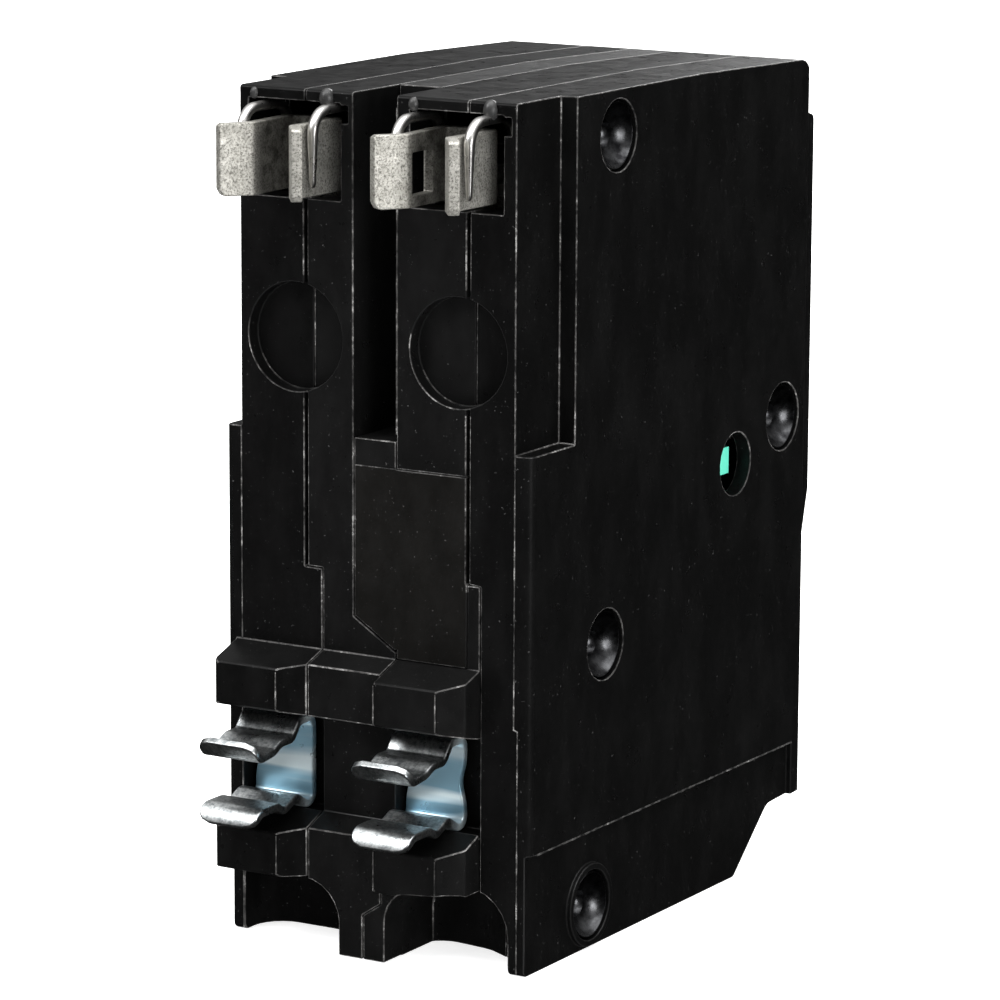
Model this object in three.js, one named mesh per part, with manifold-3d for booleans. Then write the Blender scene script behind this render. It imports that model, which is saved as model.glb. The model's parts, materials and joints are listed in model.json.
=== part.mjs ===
// Two-pole plug-on ground-fault circuit breaker, as an assembly of separate pieces.
// Millimetres, +Z up towards the line end, -Y is the mounting side, +Y the handle side.
import * as THREE from "three";
import { mergeVertices } from "three/addons/utils/BufferGeometryUtils.js";
import Module from "manifold-3d";

const wasm = await Module();
wasm.setup();

// ---- driving dimensions: Y counts from the flat back face, Z from the load end ----
const POLE_PITCH = 19.05; // three quarters of an inch for each pole
const HALF_WIDTH = POLE_PITCH;
const HEIGHT = 92.8;
const FRONT = 62.1;
const PLATE_FRONT = 66.1; // face of the raised handle plate
const PLATE_HALF_WIDTH = 17.45;
const BACK_HALF_WIDTH = 17.05; // narrow upper part of the back
const SHOULDER_Y = 9;
const SHOULDER_Z = 56.1;
const WALL = 1.8;
const SEAM = 0.14; // gap between two mouldings
const WIDE_SEAM = { width: 0.45, depth: 1.3 }; // the groove that opens it at the back, above the jogs
const SLOT = { left: -2.8, right: 2.5, bottom: 56.2, depth: 9.1 };
const SEAM_LEFT = { upper: -8.8, lower: -6.75, jog: 41.6 };
const SEAM_RIGHT = { upper: 11.3, lower: 12.9, jog: 41.8 };
const PANEL = { foot: 32.7, bottom: 33.4, top: 53.3, corner: 36.8 };
const LEDGE_Z = 13.2;
const LEDGE_DEPTH = 0.65;
const MID_Y = 31.7; // half way between the clip noses and the handle tie
const JAW_BOTTOM = 81.9;
const JAW_TOP = 89.6;
const JAW_PLATE = 1.2;
const JAW_WEB = 3.4; // how deep the jaw's web lies
const MECHANISM_X = 9.6; // contact arm and handle of each pole
const TERMINAL_X = 11.7; // bimetal and lug of each pole
const HANDLE_AXIS = { y: 54, z: 64 };
const HANDLE_REST = -22; // degrees: the handle rests at OFF
const ARM_AXIS = { y: 41, z: 60 };
const CRADLE_AXIS = { y: 27, z: 56 };
const TRIP_AXIS = { y: 45.1, z: 48.3 };
const LUG_SCREW_Z = 12.4;
const WIRE_Y = 41;
const RIVETS = {
  rivet_top: { y: 17.8, z: 87.9 },
  rivet_front: { y: 56.3, z: 52 },
  rivet_back: { y: 15.9, z: 33.3 },
  rivet_bottom: { y: 13.6, z: 4.9 },
};
const RIVET_RADIUS = 1.9;
const RIVET_HEAD = { radius: 3.65, thickness: 1.8 };
const RIVET_POCKET = { radius: 3.9, depth: 0.35 };

// ---- materials ----
function finish(color, roughness, metalness) {
  return new THREE.MeshStandardMaterial({ color, roughness, metalness });
}
const BLACK = finish(0x161616, 0.45, 0);
const PANEL_BLACK = finish(0x1b1a19, 0.5, 0);
const TINNED = finish(0xbebbb2, 0.45, 1);
const STEEL = finish(0x9c9ea0, 0.3, 1);
const DARK_STEEL = finish(0x4a4a48, 0.4, 1);
const ZINC = finish(0xcfd8dc, 0.22, 1);
const COPPER = finish(0xb5653c, 0.4, 1);
const SILVER = finish(0xd8d8d4, 0.3, 1);
const ALUMINIUM = finish(0xb4b7ba, 0.4, 1);
const TEAL = finish(0x35b89c, 0.5, 0);
const FIBRE = finish(0x8e8a80, 0.8, 0);
const BOARD_GREEN = finish(0x1f5c3a, 0.5, 0);
const BUTTON_YELLOW = finish(0xd9a521, 0.5, 0);
const BLUE = finish(0x2257a8, 0.5, 0);

// ---- solids from three.js geometry ----
function toSolid(geometry) {
  const plain = geometry.index ? geometry.toNonIndexed() : geometry.clone();
  plain.deleteAttribute("normal");
  plain.deleteAttribute("uv");
  const merged = mergeVertices(plain, 1e-4);
  return new wasm.Manifold(
    new wasm.Mesh({
      numProp: 3,
      vertProperties: merged.attributes.position.array,
      triVerts: new Uint32Array(merged.index.array),
    }),
  );
}

function toGeometry(solid) {
  const mesh = solid.getMesh();
  const geometry = new THREE.BufferGeometry();
  geometry.setAttribute("position", new THREE.BufferAttribute(mesh.vertProperties, 3));
  geometry.setIndex(new THREE.BufferAttribute(mesh.triVerts, 1));
  geometry.computeVertexNormals();
  return geometry;
}

function join(...solids) {
  return solids.reduce((whole, solid) => whole.add(solid));
}

function cut(solid, ...tools) {
  return tools.reduce((rest, tool) => rest.subtract(tool), solid);
}

// The corners of an outline, each given as [a, b] or [a, b, radius], as one path.
function cornerPath(points, closed) {
  const path = new THREE.Path();
  points.forEach(([a, b, radius = 0], i) => {
    const corner = new THREE.Vector2(a, b);
    const isEnd = !closed && (i === 0 || i === points.length - 1);
    let start = corner;
    if (radius > 0 && !isEnd) {
      const last = points[(i + points.length - 1) % points.length];
      const next = points[(i + 1) % points.length];
      const back = new THREE.Vector2(last[0], last[1]).sub(corner).normalize();
      const ahead = new THREE.Vector2(next[0], next[1]).sub(corner).normalize();
      const half = Math.acos(THREE.MathUtils.clamp(back.dot(ahead), -1, 1)) / 2;
      start = corner.clone().addScaledVector(back, radius / Math.tan(half));
      const end = corner.clone().addScaledVector(ahead, radius / Math.tan(half));
      const middle = back.clone().add(ahead).normalize();
      const centre = corner.clone().addScaledVector(middle, radius / Math.sin(half));
      const from = start.clone().sub(centre).angle();
      const to = end.clone().sub(centre).angle();
      if (i === 0) path.moveTo(start.x, start.y);
      else path.lineTo(start.x, start.y);
      path.absarc(centre.x, centre.y, radius, from, to, ahead.cross(back) < 0);
      return;
    }
    if (i === 0) path.moveTo(start.x, start.y);
    else path.lineTo(start.x, start.y);
  });
  return path;
}

function outline(points, arcSteps = 3) {
  return new THREE.Shape(withoutRepeats(cornerPath(points, true).getPoints(arcSteps)));
}

function withoutRepeats(points) {
  return points.filter((p, i) => i === 0 || p.distanceTo(points[i - 1]) > 1e-3);
}

function circle(a, b, radius, sides) {
  const points = [];
  for (let i = 0; i < sides; i++) {
    const angle = (2 * Math.PI * (i + 0.5)) / sides;
    points.push(new THREE.Vector2(a + radius * Math.cos(angle), b + radius * Math.sin(angle)));
  }
  return new THREE.Shape(points);
}

// A shape pushed along one axis. Its own two axes are Y and Z for x, X and Z for y, X and Y for z.
function pushed(axis, shape, from, to) {
  const geometry = new THREE.ExtrudeGeometry(shape, { depth: to - from, bevelEnabled: false });
  const turn = new THREE.Matrix4();
  if (axis === "x") {
    turn.set(0, 0, 1, from, 1, 0, 0, 0, 0, 1, 0, 0, 0, 0, 0, 1);
  } else if (axis === "y") {
    turn.set(1, 0, 0, 0, 0, 0, -1, to, 0, 1, 0, 0, 0, 0, 0, 1);
  } else {
    turn.makeTranslation(0, 0, from);
  }
  return toSolid(geometry.applyMatrix4(turn));
}

function block(x0, x1, y0, y1, z0, z1) {
  const geometry = new THREE.BoxGeometry(x1 - x0, y1 - y0, z1 - z0);
  return toSolid(geometry.translate((x0 + x1) / 2, (y0 + y1) / 2, (z0 + z1) / 2));
}

function rod(axis, radius, a, b, from, to, sides = 20) {
  return pushed(axis, circle(a, b, radius, sides), from, to);
}

// Sheet metal seen from its edge: a path with rounded bends, thickened to both sides.
function ribbon(points, thickness, arcSteps = 2) {
  const line = withoutRepeats(cornerPath(points, false).getPoints(arcSteps));
  const sides = [[], []];
  line.forEach((p, i) => {
    const last = line[Math.max(i - 1, 0)];
    const next = line[Math.min(i + 1, line.length - 1)];
    const before = p.clone().sub(last).normalize();
    const after = next.clone().sub(p).normalize();
    const along = before.add(after).normalize();
    const turn = i > 0 && i < line.length - 1 ? Math.max(along.dot(after), 0.5) : 1;
    const normal = new THREE.Vector2(-along.y, along.x).multiplyScalar(thickness / 2 / turn);
    sides[0].push(p.clone().add(normal));
    sides[1].push(p.clone().sub(normal));
  });
  return new THREE.Shape([...sides[0], ...sides[1].reverse()]);
}

// A wire of round section along a curve.
function wire(points, radius, steps, sides) {
  const curve = new THREE.CatmullRomCurve3(points);
  const section = circle(0, 0, radius, sides);
  return toSolid(new THREE.ExtrudeGeometry(section, { steps, extrudePath: curve }));
}

// A coil spring about an axis along Y or Z.
function coil(axis, x, across, from, to, radius, wireRadius, turns) {
  const points = [];
  const stepsPerTurn = 6;
  const count = turns * stepsPerTurn;
  const start = from + wireRadius;
  const length = to - from - 2 * wireRadius;
  for (let i = 0; i <= count; i++) {
    const angle = (2 * Math.PI * i) / stepsPerTurn;
    const along = start + (length * i) / count;
    const u = x + radius * Math.cos(angle);
    const v = across + radius * Math.sin(angle);
    points.push(axis === "y" ? new THREE.Vector3(u, along, v) : new THREE.Vector3(u, v, along));
  }
  return wire(points, wireRadius, count, 4);
}

// ---- the moulded body, made whole and then split into its mouldings ----
function bodyBlank() {
  const side = outline([
    [0, 0, 0.8],
    [47.2, 0, 1],
    [55.2, 6.8, 2.5],
    [FRONT, 7.1, 0.6],
    [FRONT, 92.15, 2.4],
    [36, HEIGHT],
    [0, HEIGHT, 0.4],
  ], 5);
  const plan = outline([
    [-HALF_WIDTH, 0, 0.8],
    [HALF_WIDTH, 0, 1.1],
    [HALF_WIDTH, FRONT, 0.7],
    [-HALF_WIDTH, FRONT, 0.7],
  ]);
  const body = pushed("x", side, -HALF_WIDTH, HALF_WIDTH).intersect(pushed("z", plan, -1, HEIGHT + 1));
  return join(cut(body, ...shoulders(), ...ledges()), handlePlate(), ribs(), collars());
}

function shoulders() {
  return [-1, 1].map((side) => {
    const inner = side * BACK_HALF_WIDTH;
    const outer = side * (HALF_WIDTH + 1);
    return block(Math.min(inner, outer), Math.max(inner, outer), -1, SHOULDER_Y, SHOULDER_Z, HEIGHT + 1);
  });
}

// Both sides step in a little below the ledge, behind the front lip.
function ledges() {
  return [-1, 1].map((side) => {
    const inner = side * (HALF_WIDTH - LEDGE_DEPTH);
    const outer = side * (HALF_WIDTH + 1);
    return block(Math.min(inner, outer), Math.max(inner, outer), -1, 59.8, -1, LEDGE_Z);
  });
}

function collars() {
  const { y, z } = RIVETS.rivet_bottom;
  const ring = [-1, 1].map((side) => {
    const inner = side * (HALF_WIDTH - LEDGE_DEPTH - 0.5);
    const outer = side * (HALF_WIDTH - 0.1);
    return rod("x", 4.6, y, z, Math.min(inner, outer), Math.max(inner, outer), 28);
  });
  return join(...ring);
}

function handlePlate() {
  const profile = outline([
    [FRONT - 2, 27.4],
    [FRONT, 27.4],
    [PLATE_FRONT, 42, 1.5],
    [PLATE_FRONT, 85.3, 0.8],
    [FRONT, 86.4],
    [FRONT - 2, 86.4],
  ]);
  return pushed("x", profile, -PLATE_HALF_WIDTH, PLATE_HALF_WIDTH);
}

// The two ribs that the panel's rail sits between, and the foot that runs down from the lower one.
const RIB = { left: -17.8, block: -4.75, middle: -3.1, end: -2.6 };

function ribPlan() {
  return outline([
    [RIB.left, 1],
    [RIB.left, RIB.block, 0.9],
    [-9.7, RIB.block],
    [SEAM_LEFT.lower, RIB.middle],
    [SLOT.right, RIB.middle],
    [SLOT.right, RIB.block, 0.3],
    [10.35, RIB.block, 0.6],
    [SEAM_RIGHT.lower, RIB.end, 0.9],
    [SEAM_RIGHT.lower, 1],
  ]);
}

function ribs() {
  const upper = outline([
    [1, 32.7],
    [0, 32.7],
    [RIB.block, 31.1, 0.4],
    [RIB.block, 26.4, 0.4],
    [0, 25.3],
    [1, 25.3],
  ]);
  const lower = outline([
    [1, 14.9],
    [0, 14.9],
    [RIB.block, 13, 0.4],
    [RIB.block, 8.1, 0.4],
    [0, 8.6],
    [1, 8.6],
  ]);
  const plan = pushed("z", ribPlan(), 0, 60);
  const foot = block(SLOT.left, 2.95, RIB.middle, 1, 0.1, 11);
  const leftFillet = block(SLOT.left - 4, SLOT.left, RIB.middle, 1, 4, 11);
  const rightFillet = block(2.95, 5.6, RIB.middle, 1, 4, 8.6);
  const bars = [upper, lower].map((profile) => {
    return pushed("x", profile, -HALF_WIDTH, HALF_WIDTH).intersect(plan);
  });
  return join(...bars, foot, leftFillet, rightFillet);
}

function seamGrooves() {
  const half = WIDE_SEAM.width / 2;
  return [SEAM_LEFT, SEAM_RIGHT].map(({ upper, jog }) => {
    return block(upper - half, upper + half, -1, WIDE_SEAM.depth, jog, JAW_BOTTOM);
  });
}

function slotCut() {
  return block(SLOT.left, SLOT.right, -1, SLOT.depth, SLOT.bottom, HEIGHT + 1);
}

// Hollows between the feet at the load end, open to the back and below.
function footHollows() {
  const leftFace = outline([
    [-16.9, -2],
    [SLOT.left, -2],
    [SLOT.left, 8.1, 4.5],
    [-16.9, 8.1, 2],
  ]);
  const leftPlan = outline([
    [-18, -8],
    [0, -8],
    [0, 5.4],
    [-16.9, 5.4, 3.5],
    [-16.9, 0.2],
    [-18, 0.2],
  ]);
  const rightFace = outline([
    [2.95, -2],
    [16.4, -2],
    [16.4, 9.4, 5],
    [2.95, 8.2, 4],
  ]);
  const rightPlan = outline([
    [2.95, -8],
    [18, -8],
    [18, 3],
    [9.9, 7.4, 6],
    [2.2, 8.3, 3],
    [2.2, -1],
    [2.95, -1],
  ]);
  return [
    [leftFace, leftPlan],
    [rightFace, rightPlan],
  ].map(([face, plan]) => pushed("y", face, -8, 9).intersect(pushed("z", plan, -2, 12)));
}

function roundPockets() {
  return [-10.1, 10.1].map((x) => rod("y", 5.9, x, 66.35, -1, 1.7, 32));
}

// Pockets in the channel between the ribs, where the rail clips' webs lie.
const CLIP_POCKETS = [
  { left: -BACK_HALF_WIDTH, right: SEAM_LEFT.lower },
  { left: SLOT.right, right: SEAM_RIGHT.lower },
];

function clipPockets() {
  return CLIP_POCKETS.map(({ left, right }) => block(left, right, 0, 3.4, 14.5, 25.3));
}

function jawWindows() {
  const top = 91.5;
  const bottom = 81.2;
  return [
    block(-15.9, -4.4, -1, 7, bottom, top),
    block(4.15, 15.5, -1, 7, bottom, top),
    block(15.4, 16.4, -1, 7, 89.4, 91.3),
    block(-4.5, -3.5, -1, 7, 89.4, 91.3),
  ];
}

// The room that one pole's mechanism has, on the right; the left one is its mirror image.
function poleRoom(side) {
  const profile = outline([
    [10, 10.5],
    [33, 10.5],
    [33, 4.4],
    [46.4, 4.4],
    [53.4, 10],
    [60.2, 10],
    [60.2, 44],
    [64.6, 44],
    [64.6, 83.4],
    [60.2, 83.4],
    [60.2, 89],
    [54, 90.9],
    [3.8, 90.9],
    [3.8, 34.5],
    [10, 34.5],
  ]);
  const outer = HALF_WIDTH - WALL;
  const span = (a, b) => (side > 0 ? [a, b] : [-b, -a]);
  const lower = pushed("x", profile, ...span(6.2, outer));
  const upper = pushed("x", profile, ...span(4.4, 6.3)).intersect(block(-20, 20, 0, 70, 57.6, HEIGHT));
  const backWall = block(...span(BACK_HALF_WIDTH - WALL, HALF_WIDTH), 0, SHOULDER_Y + WALL, 54.3, HEIGHT);
  return cut(join(lower, upper), backWall, bosses());
}

// Posts round the rivets, wider under the rivet heads.
function bosses() {
  const posts = Object.values(RIVETS).flatMap(({ y, z }) => [
    rod("x", 3.6, y, z, -HALF_WIDTH, HALF_WIDTH, 8),
    rod("x", 5.4, y, z, -HALF_WIDTH, -13.6, 8),
    rod("x", 5.4, y, z, 13.6, HALF_WIDTH, 8),
  ]);
  return join(...posts);
}

// The room for the electronics between the poles.
function moduleRoom() {
  const profile = outline([
    [11, 17],
    [34, 17],
    [34, 4.6],
    [46.3, 4.6],
    [53.3, 10.2],
    [60.2, 10.2],
    [60.2, 42.6],
    [64.4, 42.6],
    [64.4, 52.5],
    [60.2, 52.5],
    [60.2, 55],
    [11, 55],
  ]);
  const lower = pushed("x", profile, -4.4, 4.4);
  const upper = block(SLOT.left, SLOT.right, 11, 60.2, 57, 90.4);
  const bracket = join(
    block(SLOT.left, SLOT.right, 55.8, 61, 40.8, 42.3),
    block(SLOT.left, SLOT.right, 55.8, 57.2, 40.8, 49.2),
  );
  return cut(join(lower, upper), bosses(), bracket);
}

function openings() {
  const frontHoles = [-1, 1].flatMap((side) => {
    const x = side * MECHANISM_X;
    return [
      block(x - 3.5, x + 3.5, 60, PLATE_FRONT + 1, 55, 73),
      rod("y", 4.5, side * TERMINAL_X, LUG_SCREW_Z, 46, FRONT + 1, 20),
      rod("z", 4, side * TERMINAL_X, WIRE_Y, -1, 5, 20),
    ];
  });
  return [
    ...frontHoles,
    rod("y", 3.3, 0, LUG_SCREW_Z - 0.2, 46, FRONT + 1, 18),
    rod("z", 2.9, 0, WIRE_Y, -1, 5, 18),
    rod("z", 1.7, 0, 29, -1, 18, 12),
    block(-4.3, 4.3, 60, PLATE_FRONT + 1, 43.5, 49.1),
    rod("x", 3.58, TRIP_AXIS.y, TRIP_AXIS.z, 16, HALF_WIDTH + 1, 24),
    rod("x", 2.7, TRIP_AXIS.y, TRIP_AXIS.z, -7, 7, 10),
    rod("x", 1.8, HANDLE_AXIS.y, HANDLE_AXIS.z, -7, 7, 10),
  ];
}

function rivetHoles() {
  const bottom = HALF_WIDTH - RIVET_POCKET.depth - RIVET_HEAD.thickness;
  return Object.values(RIVETS).flatMap(({ y, z }) => [
    rod("x", RIVET_RADIUS + 0.3, y, z, -HALF_WIDTH, HALF_WIDTH, 8),
    rod("x", RIVET_POCKET.radius, y, z, bottom, HALF_WIDTH + 1, 24),
    rod("x", RIVET_POCKET.radius, y, z, -HALF_WIDTH - 1, -bottom, 24),
  ]);
}

// What each moulding takes of the body, as an outline in X and Z seen from the back.
function mouldingMasks() {
  const low = -1;
  const high = HEIGHT + 1;
  const gap = SEAM / 2;
  const far = HALF_WIDTH + 1;
  return {
    left_cover: [
      [-far, low],
      [SEAM_LEFT.lower - gap, low],
      [SEAM_LEFT.lower - gap, SEAM_LEFT.jog - gap],
      [SEAM_LEFT.upper - gap, SEAM_LEFT.jog - gap],
      [SEAM_LEFT.upper - gap, high],
      [-far, high],
    ],
    left_case: [
      [SEAM_LEFT.lower + gap, low],
      [0.25 - gap, low],
      [0.25 - gap, 5],
      [SLOT.right - gap, 6.5],
      [SLOT.right - gap, PANEL.bottom],
      [SLOT.left - gap, PANEL.corner],
      [SLOT.left - gap, high],
      [SEAM_LEFT.upper + gap, high],
      [SEAM_LEFT.upper + gap, SEAM_LEFT.jog + gap],
      [SEAM_LEFT.lower + gap, SEAM_LEFT.jog + gap],
    ],
    right_cover: [
      [far, low],
      [far, high],
      [SEAM_RIGHT.upper + gap, high],
      [SEAM_RIGHT.upper + gap, SEAM_RIGHT.jog + gap],
      [SEAM_RIGHT.lower + gap, SEAM_RIGHT.jog - gap],
      [SEAM_RIGHT.lower + gap, low],
    ],
  };
}

function frameMask() {
  const gap = SEAM / 2;
  const bar = outline([
    [SLOT.left + gap, PANEL.corner + 0.15],
    [SLOT.right - gap, PANEL.bottom + 0.2],
    [SLOT.right - gap, HEIGHT + 1],
    [SLOT.left + gap, HEIGHT + 1],
  ]);
  return join(cut(pushed("y", bar, -1, 80), chin(0)), panelPlate());
}

// The front wall below the test button and a rivet's post, which belong to the left case.
function chin(gap) {
  return block(SLOT.left - 1, SLOT.right - SEAM / 2, 11.3, 80, PANEL.bottom - 1, 43.5 - gap);
}

// The plate that closes the electronics at the back, as a step of the module frame.
function panelPlate() {
  const gap = SEAM / 2;
  const plate = outline([
    [SLOT.right + gap, PANEL.foot + gap],
    [SEAM_RIGHT.upper - gap, PANEL.foot + gap],
    [SEAM_RIGHT.upper - gap, PANEL.top - gap],
    [SLOT.right - 0.3, PANEL.top - gap],
    [SLOT.right - 0.3, PANEL.bottom + 0.5],
    [SLOT.right + gap, PANEL.bottom + 0.4],
  ]);
  return pushed("y", plate, -1, 3.4);
}

function rightCaseMask() {
  const gap = SEAM / 2;
  const whole = outline([
    [0.25 + gap, -1],
    [SEAM_RIGHT.lower - gap, -1],
    [SEAM_RIGHT.lower - gap, SEAM_RIGHT.jog - gap],
    [SEAM_RIGHT.upper - gap, SEAM_RIGHT.jog - gap],
    [SEAM_RIGHT.upper - gap, HEIGHT + 1],
    [SLOT.right + gap, HEIGHT + 1],
    [SLOT.right + gap, 6.5],
    [0.25 + gap, 5],
  ]);
  const panelBay = block(0, SEAM_RIGHT.upper + 0.01, -6, 3.5, PANEL.foot, PANEL.top);
  return cut(pushed("y", whole, -8, 80), panelBay);
}

function mouldings() {
  const rooms = [poleRoom(-1), poleRoom(1), moduleRoom()];
  const hollows = [slotCut(), ...footHollows(), ...roundPockets(), ...clipPockets()];
  const cuts = [...hollows, ...seamGrooves(), ...jawWindows(), ...openings(), ...rivetHoles()];
  const body = cut(bodyBlank(), ...rooms, ...cuts);
  const pieces = {};
  Object.entries(mouldingMasks()).forEach(([name, points]) => {
    pieces[name] = body.intersect(pushed("y", outline(points), -8, 80));
  });
  pieces.left_case = join(pieces.left_case, body.intersect(chin(SEAM)));
  pieces.right_case = body.intersect(rightCaseMask());
  pieces.module_frame = body.intersect(frameMask());
  return pieces;
}

function rivet({ y, z }) {
  const end = HALF_WIDTH - RIVET_POCKET.depth;
  const { radius, thickness } = RIVET_HEAD;
  return join(
    rod("x", RIVET_RADIUS, y, z, -end, end, 8),
    rod("x", radius, y, z, end - thickness, end, 16),
    rod("x", radius, y, z, -end, thickness - end, 16),
  );
}

// ---- line side: jaw, its spring, and the fixed contact ----
function lineJaw(x, hasWindow) {
  const half = 2.1 + JAW_PLATE / 2;
  const shape = ribbon(
    [
      [x - half - 2.4, -8.1],
      [x - half, -5.1, 0.8],
      [x - half - 0.35, JAW_WEB, 1.2],
      [x + half + 0.35, JAW_WEB, 1.2],
      [x + half, -5.1, 0.8],
      [x + half + 2.4, -8.1],
    ],
    JAW_PLATE,
  );
  const jaw = pushed("z", shape, JAW_BOTTOM, JAW_TOP);
  const lipCorners = [-1, 1].map((side) => {
    const tip = x + side * (half + 2.9);
    const corner = [
      [tip + side * 2, JAW_BOTTOM - 1],
      [tip + side * 2, JAW_BOTTOM + 2.4],
      [tip, JAW_BOTTOM + 1.3],
      [tip - side * 1.4, JAW_BOTTOM - 1],
    ];
    return pushed("y", outline(side > 0 ? corner : corner.reverse()), -10, -6);
  });
  const tail = ribbon(
    [
      [JAW_WEB + 0.3, 84.8],
      [9, 84.8, 1.4],
      [9, 79, 1.4],
      [21, 79],
    ],
    JAW_PLATE,
  );
  const bladeWindow = hasWindow ? [block(x - 5, x - 1.5, -4.6, -1.9, 83.2, 87.4)] : [];
  return join(cut(jaw, ...lipCorners, ...bladeWindow), pushed("x", tail, x - 2.5, x + 2.5));
}

// One polished strip that arches over both blades and squeezes them together.
function jawSpring(x) {
  const arches = [[-5.1, -4.2], [3.7, 4.5]].map(([from, to]) => {
    const arch = ribbon(
      [
        [-3.9, 83.4],
        [-3.9, 90.9, 2.5],
        [5, 90.9, 2.5],
        [5, 82.6],
      ],
      0.9,
      3,
    );
    return pushed("x", arch, x + from, x + to);
  });
  return join(...arches, block(x - 5, x + 4.4, 4.55, 5.45, 82.4, 83.8));
}

function fixedContact(x) {
  return rod("z", 2, x, 18.5, 77.4, 78.38, 16);
}

// ---- mechanism ----
function contactArm(x) {
  const { y, z } = ARM_AXIS;
  const profile = outline([
    [y + 2.4, z - 2.4, 2.2],
    [y + 2.4, z + 2.4, 2.2],
    [20, 69.5],
    [13.4, 69.5, 0.6],
    [13.4, 67.4, 0.6],
    [20, 66.6],
    [y - 2.4, z - 2.4, 0.5],
  ]);
  const arm = pushed("x", profile, x - 0.9, x + 0.9);
  const pad = block(x - 1.9, x + 1.9, 13.4, 17.6, 68.2, 69.5);
  return cut(join(arm, pad), rod("x", 1.5, y, z, x - 2, x + 2, 16));
}

function movingContact(x) {
  return rod("z", 1.7, x, 15.4, 69.52, 70.5, 16);
}

function cradle(x, side) {
  const { y, z } = CRADLE_AXIS;
  const near = x + side * 3.6;
  const far = x + side * 4.8;
  const profile = outline([
    [y - 2.4, z - 2.4, 1.8],
    [36, 50.2, 1.5],
    [41.6, 49.2, 0.4],
    [42.2, 51.2, 0.4],
    [36.5, 55.6, 2],
    [y - 2.4, z + 2.4, 1.8],
  ]);
  const plate = pushed("x", profile, Math.min(near, far), Math.max(near, far));
  return cut(plate, rod("x", 1.5, y, z, -HALF_WIDTH, HALF_WIDTH, 16));
}

function crossPin({ y, z }, side, radius) {
  const ends = [6.5, HALF_WIDTH - WALL - 0.3].map((end) => side * end);
  return rod("x", radius, y, z, Math.min(...ends), Math.max(...ends), 12);
}

function arcChute(x) {
  const sides = [-1, 1].map((side) => {
    const near = x + side * 3.1;
    const far = x + side * 2.5;
    return block(Math.min(near, far), Math.max(near, far), 4.2, 10, 62, 76);
  });
  const back = block(x - 3.1, x + 3.1, 4.2, 4.8, 62, 76);
  const plates = [0, 1, 2, 3, 4].map((i) => {
    const z = 63 + i * 2.9;
    return cut(block(x - 2.6, x + 2.6, 4.5, 9.6, z, z + 0.7), block(x - 1, x + 1, 7, 10, z - 1, z + 2));
  });
  return join(...sides, back, ...plates);
}

function handle(x) {
  const profile = outline([
    [-4.9, -5, 4],
    [5, -5, 2.5],
    [9, -3.4],
    [17.9, -2.5, 0.8],
    [17.9, 2.5, 0.8],
    [9, 3.4],
    [5, 5, 2.5],
    [-4.9, 5, 4],
  ]);
  return cut(pushed("x", profile, x - 3, x + 3), rod("x", 1.8, 0, 0, x - 4, x + 4, 16));
}

function handleTie() {
  const bar = outline([
    [15.6, -3.3, 0.4],
    [19.4, -3, 1],
    [19.4, 3, 1],
    [15.6, 3.3, 0.4],
  ]);
  const sockets = [-1, 1].map((side) => {
    const x = side * MECHANISM_X;
    return block(x - 3.3, x + 3.3, 10, 18.2, -2.9, 2.9);
  });
  return cut(pushed("x", bar, -13, 13), ...sockets);
}

function tripBar() {
  const { y, z } = TRIP_AXIS;
  const bar = rod("x", 2.2, y, z, -17, 15.6, 16);
  const end = block(15, 17.15, y - 1.9, y + 1.9, z - 1.5, z + 1.5);
  const poleLevers = [-1, 1].map((side) => {
    const x = side * TERMINAL_X;
    const profile = outline([
      [y - 2, z + 0.9],
      [37.5, 41.7, 0.5],
      [39.6, 40, 0.5],
      [y + 1, z - 1.8],
    ]);
    return pushed("x", profile, x - 1.6, x + 1.6);
  });
  const plungerLever = block(-1.6, 1.6, y - 1.2, y + 1.2, 40.6, z);
  return join(bar, end, ...poleLevers, plungerLever);
}

// ---- thermal and magnetic trip of one pole ----
function bimetal(x) {
  return block(x - 2.4, x + 2.4, 30, 31, 20, 44);
}

function magnetYoke(x) {
  const outer = block(x - 3.7, x + 3.7, 27, 33, 28, 38);
  return cut(outer, block(x - 2.8, x + 2.8, 28, 34, 27, 39));
}

function armature(x) {
  const plate = block(x - 3.4, x + 3.4, 35.3, 36.3, 26, 46.4);
  return cut(plate, block(x - 1.4, x + 1.4, 35, 37, 41.5, 44));
}

function loadStrap(x) {
  const shape = ribbon(
    [
      [31.7, 24],
      [31.7, 11.5, 1.3],
      [34.9, 11.5],
    ],
    1,
  );
  return pushed("x", shape, x - 2.4, x + 2.4);
}

// ---- terminals ----
function lug(x, halfWidth, y0, y1, top, wireRadius, screwZ, screwRadius) {
  const body = block(x - halfWidth, x + halfWidth, y0, y1, 4.9, top);
  const wireHole = rod("z", wireRadius, x, WIRE_Y, 4, top + 1, 20);
  return cut(body, wireHole, rod("y", screwRadius, x, screwZ, WIRE_Y, y1 + 1, 18));
}

function lugScrew(x, z, radius, headRadius, from, head) {
  const screw = join(
    rod("y", radius, x, z, from, head + 0.2, 14),
    rod("y", headRadius, x, z, head, head + 3, 20),
  );
  return cut(screw, block(x - 0.5, x + 0.5, head + 1.6, head + 4, z - headRadius, z + headRadius));
}

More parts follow.
